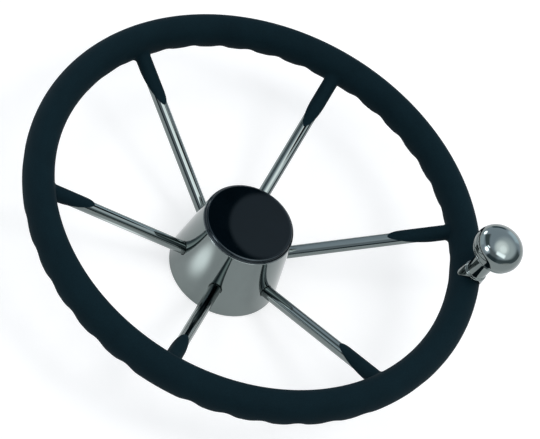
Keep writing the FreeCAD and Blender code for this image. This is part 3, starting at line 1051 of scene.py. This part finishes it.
# A pale ceiling, brightest overhead and towards the right.
walls = soft_disc((0.80, 0.90, 1.02), 90.0, 60.0, 20.0, 55.0, (1.52, 1.60, 1.66))
walls = soft_disc(walls, 64.0, 76.0, 5.0, 34.0, (2.8, 2.8, 2.8))
# The dark end of the room in front, and a dark beam that climbs from it on the left.
walls = soft_panel(walls, -22.0, 40.0, 0.0, 30.0, 16.0, 10.0, (0.42, 0.46, 0.50))
walls = soft_panel(walls, 52.0, 14.0, 0.0, 72.0, 14.0, 8.0, (0.20, 0.25, 0.27))
walls = soft_panel(walls, -8.0, 6.0, 0.0, 24.0, 20.0, 8.0, (0.09, 0.13, 0.15))
walls = soft_panel(walls, -92.0, 40.0, 14.0, 28.0, 11.0, 4.0, (0.17, 0.22, 0.23))
walls = soft_panel(walls, -169.0, 3.0, 0.0, 13.0, 8.0, 3.0, (0.10, 0.18, 0.22))
# The white sweep of the backdrop, and pale bluish boards at the side and on the left.
walls = soft_disc(walls, 57.0, -26.0, 32.0, 34.0, (0.98, 0.98, 0.96))
walls = soft_panel(walls, 158.0, 8.0, 0.0, 14.0, 14.0, 4.0, (1.30, 1.55, 1.72))
walls = soft_panel(walls, -95.0, 8.0, 0.0, 20.0, 12.0, 3.0, (1.15, 1.30, 1.40))
# Windows and lamps.
walls = soft_panel(walls, 36.0, 51.0, -27.0, 18.0, 7.5, 4.5, (4.7, 4.7, 4.8))
walls = soft_disc(walls, -46.0, 25.0, 10.0, 21.0, (1.3, 1.4, 1.55))
walls = soft_disc(walls, -49.0, 27.0, 9.0, 12.5, (5.0, 5.1, 5.3))
walls = soft_panel(walls, -56.0, 45.0, 35.0, 6.5, 3.5, 1.5, (5.0, 5.0, 5.2))
walls = soft_disc(walls, -126.0, 13.0, 6.5, 10.0, (4.8, 4.8, 4.9))
walls = soft_disc(walls, 66.0, 69.0, 3.0, 18.0, (3.5, 3.5, 3.5))
# Their glare, which only mirrors show.
glare = soft_disc(walls, -49.0, 27.0, 3.0, 9.0, (16.0, 16.0, 16.4))
glare = soft_disc(glare, -126.0, 13.0, 3.0, 8.0, (9.0, 9.0, 9.2))
ray = tree.nodes.new("ShaderNodeLightPath")
mirrored = tree.nodes.new("ShaderNodeMix")
mirrored.data_type = "RGBA"
tree.links.new(ray.outputs["Is Glossy Ray"], mirrored.inputs["Factor"])
tree.links.new(walls, mirrored.inputs["A"])
tree.links.new(glare, mirrored.inputs["B"])
seen = tree.nodes.new("ShaderNodeMix")
seen.data_type = "RGBA"
seen.inputs["B"].default_value = (1.0, 1.0, 1.0, 1.0)
tree.links.new(ray.outputs["Is Camera Ray"], seen.inputs["Factor"])
tree.links.new(mirrored.outputs["Result"], seen.inputs["A"])
tree.links.new(seen.outputs["Result"], sky.inputs["Color"])
# Metal and gloss mirror the room in full, and it lights the wheel at a plain level.
direct = maths(tree, "MAXIMUM", ray.outputs["Is Camera Ray"], ray.outputs["Is Glossy Ray"])
tree.links.new(maths(tree, "MULTIPLY_ADD", direct, 0.52, 0.48), sky.inputs["Strength"])


wheel_middle = 0.07


def softbox(name, turn, lift, distance, size, power):
    """A round softbox that faces the wheel; the metal mirrors the painted room instead."""
    light = bpy.data.lights.new(name, "AREA")
    light.shape = "DISK"
    light.size = size
    light.energy = power
    lamp = bpy.data.objects.new(name, light)
    lamp.location = direction(turn, lift) * distance + Vector((0.0, 0.0, wheel_middle))
    lamp.rotation_euler = direction(turn, lift).to_track_quat("Z", "Y").to_euler()
    lamp.visible_glossy = False
    bpy.context.scene.collection.objects.link(lamp)


softbox("window_softbox", 74.0, 64.0, 2.2, 0.72, 6.4)
softbox("left_softbox", -52.0, 61.0, 2.2, 0.80, 4.1)

camera_data = bpy.data.cameras.new("camera")
camera_data.sensor_fit = "HORIZONTAL"
camera_data.sensor_width = 36.0
camera_data.lens = 139.4945
camera_data.shift_x = -0.000926
camera_data.shift_y = 0.000926
camera_data.clip_end = 50.0
camera = bpy.data.objects.new("camera", camera_data)
camera.location = (1.089155, -0.004583, 1.416405)
camera.rotation_euler = (math.radians(35.1295), math.radians(-18.935), math.radians(113.8063))
bpy.context.scene.collection.objects.link(camera)
bpy.context.scene.camera = camera
bpy.context.scene.view_settings.view_transform = "Standard"
